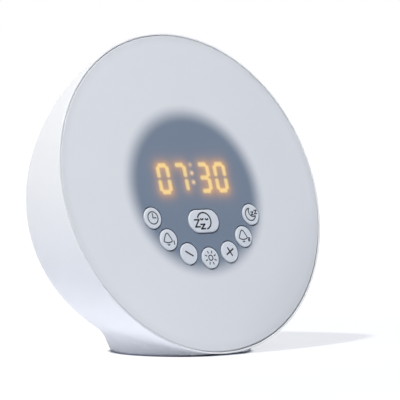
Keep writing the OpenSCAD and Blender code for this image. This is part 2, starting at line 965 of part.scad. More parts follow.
module led_lead() {
    bend_z = tray_back - socket_h - led_lead_run;
    color("gray")
        on_face()
            lead_in_plane([[led_plug_y, tray_back - socket_h], [led_plug_y, bend_z],
                [upper_plug_y + 2 * plug_d, -main_z + lead_up], [upper_plug_y + plug_d / 2, -main_z + lead_up]],
                led_lead_x, lead_w);
}

module speaker_lead() {
    flange_face = back_in_z + clamp_post_h;
    color("firebrick")
        on_face()
            lead_in_plane([[terminal_y, flange_face], [terminal_y, flange_face + speaker_lead_run],
                [rear_plug_y, main_back - speaker_lead_run], [rear_plug_y, main_back - socket_h]], 0, lead_w);
}

module inlet_lead() {
    inlet_front = back_in_z + inlet_body[2];
    color("firebrick")
        on_face()
            lead_in_plane([[-inlet_drop, inlet_front], [-inlet_drop, inlet_front + inlet_lead_run],
                [lower_plug_y, main_back - lead_run], [lower_plug_y, main_back - socket_h]], 0, lead_w);
}

module battery_lead() {
    color("firebrick")
        lead_in_plane([[bay_y, bay_top], [bay_y, bay_top + lead_run],
            upright([lower_plug_y, main_back - lead_run]), upright([lower_plug_y, main_back - socket_h])],
            battery_lead_x, lead_w);
}

// ---- Speaker ----

module speaker_basket() {
    z0 = speaker_z;
    z1 = z0 + speaker_flange_t;
    z2 = speaker_top - magnet_t;
    mouth_r = basket_r - basket_wall;
    color("gray")
        on_face()
            rotate_extrude()
                polygon([[speaker_r, z0], [speaker_r, z1], [basket_r, z1], [basket_back_r, z2], [0, z2],
                    [0, z2 - basket_t], [basket_back_r - basket_t, z2 - basket_t], [mouth_r, z0 + basket_t],
                    [mouth_r, z0]]);
}

module speaker_magnet() {
    color("dimgray")
        on_face()
            drum(magnet_r, speaker_top - magnet_t, speaker_top);
}

module speaker_cone() {
    edge = basket_r - basket_wall;
    z0 = speaker_z + cone_seat;
    z1 = z0 + cone_t;
    cap_z = speaker_z + cone_cap_up;
    color([0.15, 0.15, 0.15])
        on_face()
            rotate_extrude()
                polygon([[edge, z0], [edge, z1], [edge - cone_flat_w, z1], [cone_cap_r, cap_z], [0, cap_z],
                    [0, cap_z - 2.3], [cone_cap_r - 2, cap_z - 1.9], [cone_cap_r, cap_z - cone_t],
                    [edge - cone_flat_w, z0]]);
}

module speaker_gasket() {
    color("black")
        on_face()
            ring(speaker_r, basket_r - basket_t, back_in_z, speaker_z);
}

// ---- Power inlet ----

module power_inlet() {
    mouth = inlet_set - shell_depth;
    color([0.1, 0.1, 0.1])
        on_face()
            translate([0, -inlet_drop, 0])
                difference() {
                    union() {
                        drum(inlet_r, mouth, back_in_z + eps);
                        block(inlet_body[0], inlet_body[1], back_in_z, back_in_z + inlet_body[2]);
                    }
                    difference() {
                        drum(socket_r, mouth - 1, mouth + socket_depth);
                        drum(centre_pin_r, mouth + 1, mouth + socket_depth + 1);
                    }
                }
}

// ---- Battery compartment ----

module battery_bay() {
    outer = [bay_l + 2 * bay_wall, bay_w + 2 * bay_wall];
    color("gainsboro")
        difference() {
            translate([-outer[0] / 2, bay_y - outer[1] / 2, floor_z])
                cube([outer[0], outer[1], bay_top - floor_z]);
            translate([-bay_l / 2, bay_y - bay_w / 2, floor_z - 1])
                cube([bay_l, bay_w, bay_roof_z - floor_z + 1]);
        }
}

module battery_contacts() {
    reach = bay_l / 2 - contact_t;
    color("silver")
        for (sx = [-1, 1], sy = [-1, 1]) {
            translate([sx * (reach + contact_t / 2), bay_y + sy * cell_pitch / 2, cell_z])
                cube([contact_t, contact_size[0], contact_size[1]], center = true);
            translate([sx * (reach + eps), bay_y + sy * cell_pitch / 2, cell_z])
                rotate([0, -90 * sx, 0])
                    cylinder(r = contact_spring_r, h = reach - cell_l / 2 + eps);
        }
}

module backup_cells() {
    color("royalblue")
        for (sy = [-1, 1])
            translate([0, bay_y + sy * cell_pitch / 2, cell_z])
                rotate([0, 90 * sy, 0])
                    union() {
                        translate([0, 0, -cell_l / 2])
                            cylinder(r = cell_r, h = cell_l - nub_l);
                        translate([0, 0, cell_l / 2 - nub_l - eps])
                            cylinder(r = nub_r, h = nub_l + eps);
                    }
}

module battery_door() {
    color("white")
        difference() {
            union() {
                translate([-door_l / 2, barrel_y, sole_z])
                    cube([door_l, door_rear_y - barrel_y, door_t]);
                translate([-door_l / 2, barrel_y, barrel_z])
                    rotate([0, 90, 0])
                        cylinder(r = barrel_r, h = door_l);
                translate([-door_l / 2 - hinge_pin_l, barrel_y, barrel_z])
                    rotate([0, 90, 0])
                        cylinder(r = hinge_pin_r, h = door_l + 2 * hinge_pin_l);
            }
            for (i = [0 : 2])
                translate([-grip_l / 2, door_rear_y - grip_in - i * grip_pitch, sole_z - 1])
                    cube([grip_l, grip_w, grip_deep + 1]);
        }
}

// ---- Fasteners ----

module case_screws() {
    color("silver")
        on_face()
            at_pillars()
                screw(case_shank_r, case_screw_l - case_spare, case_head_r, case_head_t, pillar_back - boss_floor_t);
}

module carrier_screws() {
    color("silver")
        on_face()
            for (a = [0 : 90 : 270])
                rotate(a)
                    translate([flange_screw_r, 0, 0])
                        screw(small_shank_r, 2 * tray_t, small_head_r, small_head_t, carrier_back);
}

module control_screws() {
    color("silver")
        on_face()
            at_each(control_posts)
                screw(small_shank_r, small_screw_l, small_head_r, small_head_t, control_back);
}

module main_board_screws() {
    color("silver")
        on_face()
            at_each(main_posts)
                screw(small_shank_r, small_screw_l, small_head_r, small_head_t, main_back);
}

module led_board_screws() {
    color("silver")
        on_face()
            for (a = [0 : 90 : 270])
                rotate(a + led_screw_a)
                    translate([led_screw_r, 0, led_board_z])
                        rotate([180, 0, 0])
                            screw(small_shank_r, board_t + tray_t, small_head_r, small_head_t, 0);
}

module speaker_screws() {
    color("silver")
        on_face()
            at_clamps()
                translate([0, 0, back_in_z + clamp_post_h])
                    rotate([180, 0, 0])
                        screw(small_shank_r, clamp_post_h, clamp_head_r, small_head_t, 0);
}

rear_shell();
diffuser_lens();
light_tray();
display_carrier();
button_clock();
button_alarm_1();
button_minus();
button_light();
button_plus();
button_alarm_2();
button_sleep();
button_snooze();
plunger_clock();
plunger_alarm_1();
plunger_minus();
plunger_light();
plunger_plus();
plunger_alarm_2();
plunger_sleep();
plunger_snooze();
switch_bodies();
display_block();
digit_bars();
control_board();
led_board();
led_chips();
main_board();
processor_chip();
radio_can();
amplifier_chip();
capacitors();
clock_crystal();
lead_sockets();
display_lead();
led_lead();
speaker_lead();
inlet_lead();
battery_lead();
speaker_basket();
speaker_magnet();
speaker_cone();
speaker_gasket();
power_inlet();
battery_bay();
battery_contacts();
backup_cells();
battery_door();
foot_pads();
case_screws();
carrier_screws();
control_screws();
main_board_screws();
led_board_screws();
speaker_screws();
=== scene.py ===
import math

import bpy
import numpy as np
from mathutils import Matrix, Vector


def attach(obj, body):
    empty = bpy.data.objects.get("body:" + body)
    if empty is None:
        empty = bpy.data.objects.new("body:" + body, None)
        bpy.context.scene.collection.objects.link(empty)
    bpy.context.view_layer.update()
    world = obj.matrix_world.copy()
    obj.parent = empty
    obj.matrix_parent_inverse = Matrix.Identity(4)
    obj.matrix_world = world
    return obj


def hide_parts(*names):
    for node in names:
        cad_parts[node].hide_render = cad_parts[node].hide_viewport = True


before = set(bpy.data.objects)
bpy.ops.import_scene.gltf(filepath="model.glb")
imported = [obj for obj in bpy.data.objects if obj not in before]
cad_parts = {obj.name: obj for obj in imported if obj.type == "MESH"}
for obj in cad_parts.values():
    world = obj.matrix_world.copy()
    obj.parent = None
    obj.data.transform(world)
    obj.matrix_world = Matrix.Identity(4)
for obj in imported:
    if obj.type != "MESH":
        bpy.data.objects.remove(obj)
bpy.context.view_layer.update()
print("frame loaded:", len(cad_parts), "nodes")

# All lengths below are millimetres; u runs right, v up the leaning face and n out of it
mm = 0.001
head = dict(lean=17.0, faceY=-26.798, faceZ=82.186, rim=85.0, depth=65.0, sole=0.5)
leanSin, leanCos = math.sin(math.radians(head["lean"])), math.cos(math.radians(head["lean"]))


def onFace(u, v, n):
    # Turns face places into upright ones: y = middle + v sin(lean) - n cos(lean),
    # z = middle + v cos(lean) + n sin(lean)
    u, v, n = np.broadcast_arrays(u, v, n)
    return np.stack([u, head["faceY"] + v * leanSin - n * leanCos,
                     head["faceZ"] + v * leanCos + n * leanSin], -1).astype(float)


# The camera stands low at the left, far off with a long lens
view = dict(lens=281.4, sensor=36.0, place=(-1036.5, -1217.5, 57.2), aim=(2.29, -2.19, -4.13),
            seesFrom=0.05, seesTo=40)
face = Vector((0, head["faceY"], head["faceZ"]))
cameraData = bpy.data.cameras.new("camera")
cameraData.lens, cameraData.sensor_width = view["lens"], view["sensor"]
cameraData.clip_start, cameraData.clip_end = view["seesFrom"], view["seesTo"]
camera = bpy.data.objects.new("camera", cameraData)
bpy.context.scene.collection.objects.link(camera)
camera.location = (face + Vector(view["place"])) * mm
camera.rotation_euler = (Vector(view["aim"]) - Vector(view["place"])).to_track_quat("-Z", "Y").to_euler()
bpy.context.scene.camera = camera
bpy.context.scene.view_settings.view_transform = "Standard"


class Wire:
    # A socket of a material; sums, products and powers on it add Math nodes
    def __init__(self, look, socket):
        self.look, self.socket = look, socket

    def calc(self, operation, *values):
        return self.look.node("Math", dict(operation=operation), dict(enumerate(values)))

    def __add__(self, other):
        return self.calc("ADD", self, other)

    def __sub__(self, other):
        return self.calc("SUBTRACT", self, other)

    def __rsub__(self, other):
        return self.calc("SUBTRACT", other, self)

    def __mul__(self, other):
        return self.calc("MULTIPLY", self, other)

    def __pow__(self, other):
        return self.calc("POWER", self, other)

    def __abs__(self):
        return self.calc("ABSOLUTE", self)

    __radd__, __rmul__ = __add__, __mul__

    def atLeast(self, other):
        return self.calc("MAXIMUM", self, other)

    def fade(self):
        # e to the power of minus the value
        return self.calc("EXPONENT", self * -1)


def total(wires):
    # Sum of several sockets
    result = wires[0]
    for wire in wires[1:]:
        result = result + wire
    return result


class Look:
    # A procedural material on the Principled shader; node() adds every node
    def __init__(self, name, **plain):
        self.material = bpy.data.materials.new(name)
        self.material.use_nodes = True
        self.tree = self.material.node_tree
        self.shader = self.tree.nodes["Principled BSDF"]
        for socket, value in plain.items():
            self.feed(self.shader.inputs[socket.replace("_", " ")], value)

    def feed(self, socket, value):
        if isinstance(value, Wire):
            self.tree.links.new(value.socket, socket)
        elif hasattr(value, "__len__") and len(value) == 3 and socket.type == "RGBA":
            socket.default_value = (*value, 1)
        else:
            socket.default_value = value

    def node(self, kind, settings=None, sockets=None, output=0):
        made = self.tree.nodes.new("ShaderNode" + kind)
        for key, value in (settings or {}).items():
            setattr(made, key, value)
        for key, value in (sockets or {}).items():
            self.feed(made.inputs[key], value)
        return Wire(self, made.outputs[output])

    def spot(self):
        return self.node("TexCoord", output="Object")

    def onFace(self):
        # Face places u and v in mm from the object's own coordinates
        turned = self.node("Mapping", dict(vector_type="TEXTURE"), dict(
            Vector=self.spot(), Location=(0, head["faceY"] * mm, head["faceZ"] * mm),
            Rotation=(math.radians(90 - head["lean"]), 0, 0), Scale=(mm, mm, mm)))
        return [self.node("SeparateXYZ", {}, dict(Vector=turned), axis) for axis in range(2)]

    def noise(self, size, detail=2.0, rough=0.5):
        # Soft random value around 0.5, with lumps of a size in mm
        return self.node("TexNoise", {}, dict(Vector=self.spot(), Scale=1 / (size * mm), Detail=detail,
                                              Roughness=rough))

    def step(self, value, low, high, outLow=0.0, outHigh=1.0):
        # Carries a value between low and high to one between two others, gently at both ends
        ends = {"Value": value, "From Min": low, "From Max": high, "To Min": outLow, "To Max": outHigh}
        return self.node("MapRange", dict(interpolation_type="SMOOTHSTEP"), ends)

    def blend(self, factor, first, second, kind="MIX"):
        return self.node("Mix", dict(data_type="RGBA", blend_type=kind), {0: factor, 6: first, 7: second}, 2)

    def bump(self, height, depth):
        self.put("Normal", self.node("Bump", {}, dict(Strength=1.0, Distance=depth * mm, Height=height)))

    def put(self, socket, value):
        self.feed(self.shader.inputs[socket], value)


def linear(red, green, blue):
    # Screen values 0 to 255 as light: the standard curve of a display
    part = np.array([red, green, blue]) / 255
    return tuple(float(x) for x in np.where(part <= 0.04045, part / 12.92, ((part + 0.055) / 1.055) ** 2.4))


# Size of the slow drift of shade in mm, how far the gloss swings, and the dark side and depth of a
# metal's lumps
finish = dict(driftSize=34, plasticSwing=0.1, metalSwing=0.16, metalShade=0.8, metalDepth=0.01)


def moulded(name, colour, rough=0.42, grain=0.35, depth=0.012, drift=0.03):
    # Moulded plastic: fine spark texture, and a slow drift of shade and gloss over some centimetres
    look = Look(name, Specular_IOR_Level=0.5)
    slow = look.noise(finish["driftSize"], 1.0)
    darker = tuple(c * (1 - 2 * drift) for c in colour)
    look.put("Base Color", look.blend(slow, darker, colour))
    look.put("Roughness", rough - finish["plasticSwing"] / 2 + slow * finish["plasticSwing"])
    look.bump(look.noise(grain, 2.0), depth)
    return look


def metal(name, colour, rough=0.3, grain=0.5):
    # Bare metal: small lumps move its shade, gloss and height together
    look = Look(name, Metallic=1.0)
    lumps = look.noise(grain, 3.0, 0.6)
    look.put("Base Color", look.blend(lumps, tuple(c * finish["metalShade"] for c in colour), colour))
    look.put("Roughness", rough - finish["metalSwing"] / 2 + lumps * finish["metalSwing"])
    look.bump(lumps, finish["metalDepth"])
    return look


def gridFaces(rows, columns):
    # Four-sided faces between neighbouring rows and columns; the columns close into a ring
    row, column = np.arange(rows - 1)[:, None] * columns, np.arange(columns)[None, :]
    following = (column + 1) % columns
    return np.stack([row + column, row + following, row + columns + following, row + columns + column],
                    -1).reshape(-1, 4)


def meshFrom(name, points, faces):
    # A closed mesh in metres, turned so that its faces point outwards
    mesh = bpy.data.meshes.new(name)
    mesh.from_pydata((np.asarray(points) * mm).tolist(), [], faces)
    mesh.validate()
    mesh.update()
    corners = np.zeros(len(mesh.vertices) * 3)
    mesh.vertices.foreach_get("co", corners)
    corners = corners.reshape(-1, 3)
    mesh.calc_loop_triangles()
    ids = np.zeros(len(mesh.loop_triangles) * 3, np.int32)
    mesh.loop_triangles.foreach_get("vertices", ids)
    a, b, c = (corners[ids.reshape(-1, 3)[:, k]] for k in range(3))
    if np.einsum("ij,ij->", a, np.cross(b, c)) < 0:
        mesh.flip_normals()
    piece = bpy.data.objects.new(name, mesh)
    bpy.context.scene.collection.objects.link(piece)
    return piece


def loft(name, rings, ends="pole"):
    # Skins rings of equal length, in order; the first and last ring close on a pole or with a flat face
    rings = np.asarray(rings)
    rows, columns = rings.shape[:2]
    points, faces = rings.reshape(-1, 3), gridFaces(rows, columns).tolist()
    if ends == "flat":
        faces += [np.arange(columns)[::-1].tolist(), (np.arange(columns) + (rows - 1) * columns).tolist()]
    else:
        around = np.arange(columns)
        poles = len(points) + np.array([0, 1])
        points = np.vstack([points, rings[0].mean(0), rings[-1].mean(0)])
        faces += np.stack([np.roll(around, -1), around, np.full(columns, poles[0])], -1).tolist()
        around = around + (rows - 1) * columns
        faces += np.stack([around, np.roll(around, -1), np.full(columns, poles[1])], -1).tolist()
    return meshFrom(name, points, faces)


def turned(profile, angle, centre=(0, 0)):
    # Rings of a profile turned square to the face: radius and depth from its rows, angle from the column
    profile = np.asarray(profile, float)
    radius, depth = profile[:, :1], profile[:, 1:]
    return onFace(centre[0] + radius * np.cos(angle), centre[1] + radius * np.sin(angle),
                  depth + 0 * angle)


def latheRings(profile, columns, centre=(0, 0)):
    # The same with its columns evenly round the whole circle
    return turned(profile, np.arange(columns) * 2 * math.pi / columns, centre)


def arcPoints(centre, radius, start, stop, count):
    # Points of a circle between two angles in degrees
    angle = np.radians(np.linspace(start, stop, count))
    return np.stack([centre[0] + radius * np.cos(angle), centre[1] + radius * np.sin(angle)], -1)


def joined(pieces):
    # Makes one object of several
    if len(pieces) > 1:
        with bpy.context.temp_override(active_object=pieces[0], selected_editable_objects=pieces):
            bpy.ops.object.join()
    return pieces[0]


def carve(piece, tool, operation="DIFFERENCE"):
    # Takes a tool's shape away from a piece, or adds it
    change = piece.modifiers.new("carve", "BOOLEAN")
    change.operation, change.object, change.solver = operation, tool, "MANIFOLD"
    bpy.context.view_layer.update()
    shaped = bpy.data.meshes.new_from_object(piece.evaluated_get(bpy.context.evaluated_depsgraph_get()))
    piece.modifiers.clear()
    piece.data = shaped
    bpy.data.objects.remove(tool)
    return piece


crispFrom = 32


def dress(piece, look, body, replaced=()):
    # Gives a piece its material, crisp edges past an angle in degrees, and its place on a body
    piece.data.materials.clear()
    piece.data.materials.append(look.material)
    piece.data.shade_smooth()
    piece.data.set_sharp_from_angle(angle=math.radians(crispFrom))
    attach(piece, body)
    if replaced:
        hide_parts(*replaced)


# The bowl, its foot and the lip around the lens; rows run along flank, round edge and back
shell = dict(flankR=120.0, taper=5.0, edgeR=9.0, wall=2.5, lip=0.9, lipRound=0.3, recess=3.0, ledge=1.5,
             footR=36.0, footBack=10.596, flare=23.5, footTop=15.0, setback=3.0, crease=2.5, soleRound=1.2,
             footRoundBack=3.0, footRoundFront=1.5, creaseFrom=3.0, creaseOver=8.0, creaseLeast=0.05,
             columnsBelow=250, columnsAbove=130, spread=52.0, outsideRows=(84, 26, 15), insideRows=(26, 9, 8),
             backFrom=(0.03, 0.06), backTo=0.985, tuck=2.2)
march = dict(core=-34.0, near=0.2, far=1.75, halvings=34)
flankC = np.array([head["rim"] - shell["flankR"] * math.cos(math.radians(shell["taper"])),
                   shell["flankR"] * math.sin(math.radians(shell["taper"]))])
edgeZ = shell["edgeR"] - head["depth"]
joinAngle = math.asin((edgeZ - flankC[1]) / (shell["flankR"] - shell["edgeR"]))
edgeC = np.array([flankC[0] + (shell["flankR"] - shell["edgeR"]) * math.cos(joinAngle), edgeZ])
footY = head["faceY"] + shell["footBack"]


def softLess(a, b, size):
    # Smaller of two distances, rounded where they come within a size of each other
    near = np.maximum(size - abs(a - b), 0) / size
    return np.minimum(a, b) - near ** 2 * size / 4


def bowlGap(radius, n):
    # Distance outside the bowl: past the flank's circle or the back plane, and between them from the centre
    # of the round edge
    flank = np.hypot(radius - flankC[0], n - flankC[1]) - shell["flankR"]
    back = -head["depth"] - n
    turn = np.arctan2(n - edgeC[1], radius - edgeC[0])
    inEdge = (turn < joinAngle) & (turn > -math.pi / 2)
    edge = np.hypot(radius - edgeC[0], n - edgeC[1]) - shell["edgeR"]
    return np.where(inEdge, edge, np.maximum(flank, back))


def shellGap(places, inside=0.0):
    # Distance outside the whole shell: bowl and flared foot run together in a soft crease, cut off
    # flat at the sole
    x, y, z = np.moveaxis(places, -1, 0)
    v = (y - head["faceY"]) * leanSin + (z - head["faceZ"]) * leanCos
    n = -(y - head["faceY"]) * leanCos + (z - head["faceZ"]) * leanSin
    bowl = bowlGap(np.hypot(x, v), n)
    flare = math.radians(shell["flare"])
    side = (np.hypot(x, y - footY) - shell["footR"] - (z - head["sole"]) * math.tan(flare)) * math.cos(flare)
    foot = -softLess(-side, head["depth"] + n, shell["footRoundBack"])
    foot = -softLess(-foot, -shell["setback"] - n, shell["footRoundFront"])
    foot = np.maximum(foot, z - shell["footTop"])
    growth = np.clip((-n - shell["creaseFrom"]) / shell["creaseOver"], shell["creaseLeast"], 1)
    both = softLess(bowl, foot, growth * shell["crease"])
    return -softLess(-both, z - head["sole"], shell["soleRound"]) + inside


def shellRings(profile, angles, inside=0.0):
    # Marches from a point within along rays through the bowl's outline, and halves the step onto the skin
    start, target = onFace(0.0, 0.0, march["core"]), turned(profile, angles)
    low, high = (np.full(target.shape[:2], march[end]) for end in ("near", "far"))
    for turn in range(march["halvings"]):
        middle = (low + high) / 2
        out = shellGap(start + (target - start) * middle[..., None], inside) > 0
        low, high = np.where(out, low, middle), np.where(out, middle, high)
    return start + (target - start) * low[..., None]


def makeShell():
    # Columns are angles round the face axis, closer over the foot; rows run along the inside skin from
    # the back, round the lip and along the outside skin to the back
    s = shell
    below = np.linspace(-90 - s["spread"], -90 + s["spread"], s["columnsBelow"], endpoint=False)
    above = np.linspace(-90 + s["spread"], 270 - s["spread"], s["columnsAbove"], endpoint=False)
    angles = np.radians(np.concatenate([below, above]))
    flankStart = -math.degrees(math.asin((flankC[1] + s["lipRound"]) / s["flankR"]))
    joinDegrees = math.degrees(joinAngle)
    skins = []
    outside = (0.0, flankStart, s["outsideRows"], s["backFrom"][0])
    within = (s["wall"], flankStart - s["tuck"], s["insideRows"], s["backFrom"][1])
    for inside, start, rows, backFrom in (outside, within):
        flank = arcPoints(flankC, s["flankR"] - inside, start, joinDegrees, rows[0])
        edge = arcPoints(edgeC, s["edgeR"] - inside, joinDegrees, -90, rows[1])[1:]
        back = np.stack([edgeC[0] * (1 - np.linspace(backFrom, s["backTo"], rows[2])),
                         np.full(rows[2], inside - head["depth"])], -1)
        skins.append(shellRings(np.vstack([flank, edge, back]), angles, inside))
    outer, inner = skins
    rim, recess, lipRound = head["rim"], head["rim"] - s["lip"], s["lipRound"]
    lipProfile = np.vstack([[[recess - s["ledge"], -s["recess"]], [recess, -s["recess"]]],
                            arcPoints((recess + lipRound, -lipRound), lipRound, 180, 90, 5),
                            arcPoints((rim - lipRound, -lipRound), lipRound, 90, 5, 5)])
    piece = loft("shell", np.concatenate([inner[::-1], turned(lipProfile, angles), outer]))
    print("shell skin:", len(piece.data.vertices), "points")
    return piece


def rod(name, profile, u, v, columns=32):
    # A closed solid: a profile turned on an axis square to the face at u, v
    return loft(name, latheRings(profile, columns, (u, v)))


def uprightRod(name, radius, x, y, low, high, columns=48):
    # A plain cylinder: one circle at two heights
    angle = np.arange(columns) * 2 * math.pi / columns
    ring = np.stack([x + radius * np.cos(angle), y + radius * np.sin(angle), 0 * angle], -1)
    return loft(name, [ring + [0, 0, low], ring + [0, 0, high]], "flat")


# What is let into the back and the base; the cutters reach past the skin on both sides
backParts = dict(grilleR=1.2, grillePitch=4.6, grilleRings=3, grilleEdge=0.25, screwAt=52.0, screwHole=3.6,
                 boss=5.5, bossFront=-44.0, bossSunk=0.8, seat=-50.0, shank=1.7, inletDown=45.96,
                 inletHole=4.15, past=1.0)
bay = dict(half=24.4, middle=19.396, width=22.8, top=4.0, padHole=4.1, padTop=1.5,
           pads=((-18, -25), (18, -25), (-14, 25.2), (14, 25.2)))


def cutShell(piece):
    # Adds the four screw towers, then cuts screw wells, grille, inlet, pad seats and battery opening
    b, past = backParts, backParts["past"]
    skinBack, skinFront = -head["depth"], shell["wall"] - head["depth"]
    corners = [(b["screwAt"] * math.cos(a), b["screwAt"] * math.sin(a))
               for a in np.radians([45, 135, 225, 315])]
    towers = [rod("tower", [[b["boss"], skinFront - b["bossSunk"]], [b["boss"], b["bossFront"]]], *place)
              for place in corners]
    carve(piece, joined(towers), "UNION")
    well = [[b["screwHole"], skinBack - 2 * past], [b["screwHole"], b["seat"]], [b["shank"], b["seat"]],
            [b["shank"], b["bossFront"] + 2 * past]]
    tools = [rod("tool", well, *place) for place in corners]
    # A grille hole with its edge broken; the wide end stays a thousandth outside the skin
    wide = b["grilleR"] + b["grilleEdge"]
    hole = [[wide, skinBack - past], [wide, skinBack - 0.001], [b["grilleR"], skinBack + b["grilleEdge"]],
            [b["grilleR"], skinFront + past]]
    tools.append(rod("tool", hole, 0, 0, 24))
    for ringNo in range(1, b["grilleRings"] + 1):
        for a in np.arange(6 * ringNo) * 2 * math.pi / (6 * ringNo):
            reach = ringNo * b["grillePitch"]
            tools.append(rod("tool", hole, reach * math.cos(a), reach * math.sin(a), 24))
    inlet = [[b["inletHole"], skinBack - past], [b["inletHole"], skinFront + past]]
    tools.append(rod("tool", inlet, 0, -b["inletDown"], 40))
    for px, py in bay["pads"]:
        tools.append(uprightRod("tool", bay["padHole"], px, footY + py, -past, bay["padTop"]))
    bayY = head["faceY"] + bay["middle"]
    corner = np.array([[-1, -1], [1, -1], [1, 1], [-1, 1]]) * [bay["half"], bay["width"] / 2] + [0, bayY]
    opening = [np.column_stack([corner, np.full(4, z)]) for z in (-past, bay["top"])]
    tools.append(loft("tool", opening, "flat"))
    return carve(piece, joined(tools))


shellWhite = moulded("shellWhite", linear(242, 242, 243), rough=0.52, grain=0.3, depth=0.006, drift=0.012)
shellPiece = cutShell(makeShell())
dress(shellPiece, shellWhite, "head", ["rear_shell"])
print("shell cut:", len(shellPiece.data.polygons), "faces")


# The frosted front, with a hole for each button
lens = dict(radius=83.85, rise=3.2, thick=2.0, edge=3.0, roundR=0.65, skirt=80.9, skirtIn=79.2, skirtEnd=7.0,
            gap=0.55, columns=384, core=0.6, wideRows=(0.6, 50, 46), fineFrom=51.5, fineRows=22, underRows=16,
            cut=(-3.0, 5.0))
domeR = (lens["radius"] ** 2 + lens["rise"] ** 2) / (2 * lens["rise"])
keys = dict(arc=35.6, step=22.5, radius=5.5, drop=16.3, length=20.0, height=12.0, proud=0.45,
            flange=1.3, flangeTop=-2.2, flangeDeep=1.2, stem=2.0, stemSunk=0.1, plungerTop=-4.4, edge=0.55,
            faceRows=(0.4, 2.0, 3.6, 4.8), pillInset=1.6, columns=72)
roundNames = ["clock", "alarm_1", "minus", "light", "plus", "alarm_2", "sleep"]


def domeZ(radius):
    # Height of the lens: a slice of a large ball
    return lens["rise"] - domeR + np.sqrt(domeR ** 2 - np.asarray(radius, float) ** 2)


def keyPlace(i):
    # The round buttons stand evenly on an arc, the middle one at its lowest point
    turn = math.radians(-90 + keys["step"] * (i - len(roundNames) // 2))
    return keys["arc"] * math.cos(turn), keys["arc"] * math.sin(turn)


def pillOutline(length, height, inset=0.0, count=96):
    # A stadium: two half circles joined by straight sides, drawn in by an inset
    angle = (np.arange(count) + 0.5) * 2 * math.pi / count
    reach = height / 2 - inset
    return np.stack([reach * np.cos(angle) + np.sign(np.cos(angle)) * (length - height) / 2,
                     reach * np.sin(angle)], -1)


def pillRings(rows, drop, length, height):
    # One stadium ring for each row of inset and depth
    return np.stack([onFace(*(pillOutline(length, height, inset) + [0, -drop]).T, depth)
                     for inset, depth in rows])


def makeLens():
    # Turned profile: dome, rounded rim, skirt, and an underside one wall below the dome; then its holes
    k, e = lens, lens["roundR"]
    radii = np.concatenate([np.linspace(*k["wideRows"]),
                            np.linspace(k["fineFrom"], k["radius"] - e, k["fineRows"])])
    top = np.stack([radii, domeZ(radii)], -1)
    centre = (k["radius"] - e, domeZ(k["radius"] - e) - e)
    rim = arcPoints(centre, e, 88, 0, 6)
    side = [[k["radius"], -k["edge"]], [k["skirt"], -k["edge"]], [k["skirt"], -k["skirtEnd"]],
            [k["skirtIn"], -k["skirtEnd"]]]
    radii = np.linspace(k["skirtIn"], k["core"], k["underRows"])
    under = np.stack([radii, domeZ(radii) - k["thick"]], -1)
    piece = loft("lens", latheRings(np.vstack([top, rim, side, under]), k["columns"]))
    hole = [[keys["radius"] + k["gap"], depth] for depth in k["cut"]]
    tools = [rod("tool", hole, *keyPlace(i), 64) for i in range(len(roundNames))]
    length, height = keys["length"] + 2 * k["gap"], keys["height"] + 2 * k["gap"]
    slot = pillRings([(0, depth) for depth in k["cut"]], keys["drop"], length, height)
    tools.append(loft("tool", slot, "flat"))
    return carve(piece, joined(tools))


# Time display as the frost shows it, 1.5 mm left of the bars behind, because it is seen from the left;
# each bar has a halo that fades with distance
glow = dict(digits=((-20.45, ("left", "right", "ends")), (-9.15, ("right", "top")),
                    (6.2, ("right", "ends", "middle")), (17.35, ("left", "right", "ends"))),
            middle=6.6, half=7.05, wide=3.05, upright=1.8, level=1.5, coreIn=0.65, coreOut=1.8, spread=1.7,
            fill=0.85, dots=((-1.65, 9.2, 1.0), (-1.65, 4.35, 1.0), (-1.65, 13.65, 0.6)), dotR=1.15)

# Frost: the dark disc behind it, painted shade towards its edge and its far side, and a painted shadow in the
# seam low at the right
frost = dict(discR=41.6, discU=-1.2, discV=-0.2, soft=5.6, edgeFrom=78.5, edgeTo=84.0, edgeShade=0.06,
             sideFrom=78.0, sideTo=126.0, farSideShade=0.1, seamFrom=83.0, seamTo=83.6, seamWay=(0.6, -0.8),
             seamSide=(56.0, 82.0), seamShadowDark=0.6, cloudSize=22, cloudDark=0.985, rough=0.4, roughSwing=0.06,
             grain=0.35, depth=0.004)
# Colours of the frost, the disc seen through it, the haze's painted glow in the base colour, and the lights
# of the bars' cores, haze and dots
tint = dict(lens=linear(231, 232, 235), disc=linear(119, 132, 150), hazeGlowTint=linear(124, 122, 118),
            core=(0.24, 0.27, 0.07), haze=(0.82, 0.32, 0.0), dot=(0.66, 0.42, 0.14))


def barGap(kind, across, rise):
    # Distance from a bar's line: sideways beside it, and round its end past its half length
    g = glow
    if kind in ("left", "right"):
        side = across + g["wide"] if kind == "left" else across - g["wide"]
        along, reach = abs(rise) - g["half"] / 2, g["upright"]
    else:
        side = dict(ends=lambda: abs(rise) - g["half"], top=lambda: rise - g["half"],
                    middle=lambda: rise)[kind]()
        along, reach = across, g["level"]
    past = (abs(along) - reach).atLeast(0)
    return (past * past + side * side) ** 0.5


def dotGlow(across, rise):
    # e to the power of minus the squared distance over the squared radius
    return ((across * across + rise * rise) * (1 / glow["dotR"] ** 2)).fade()


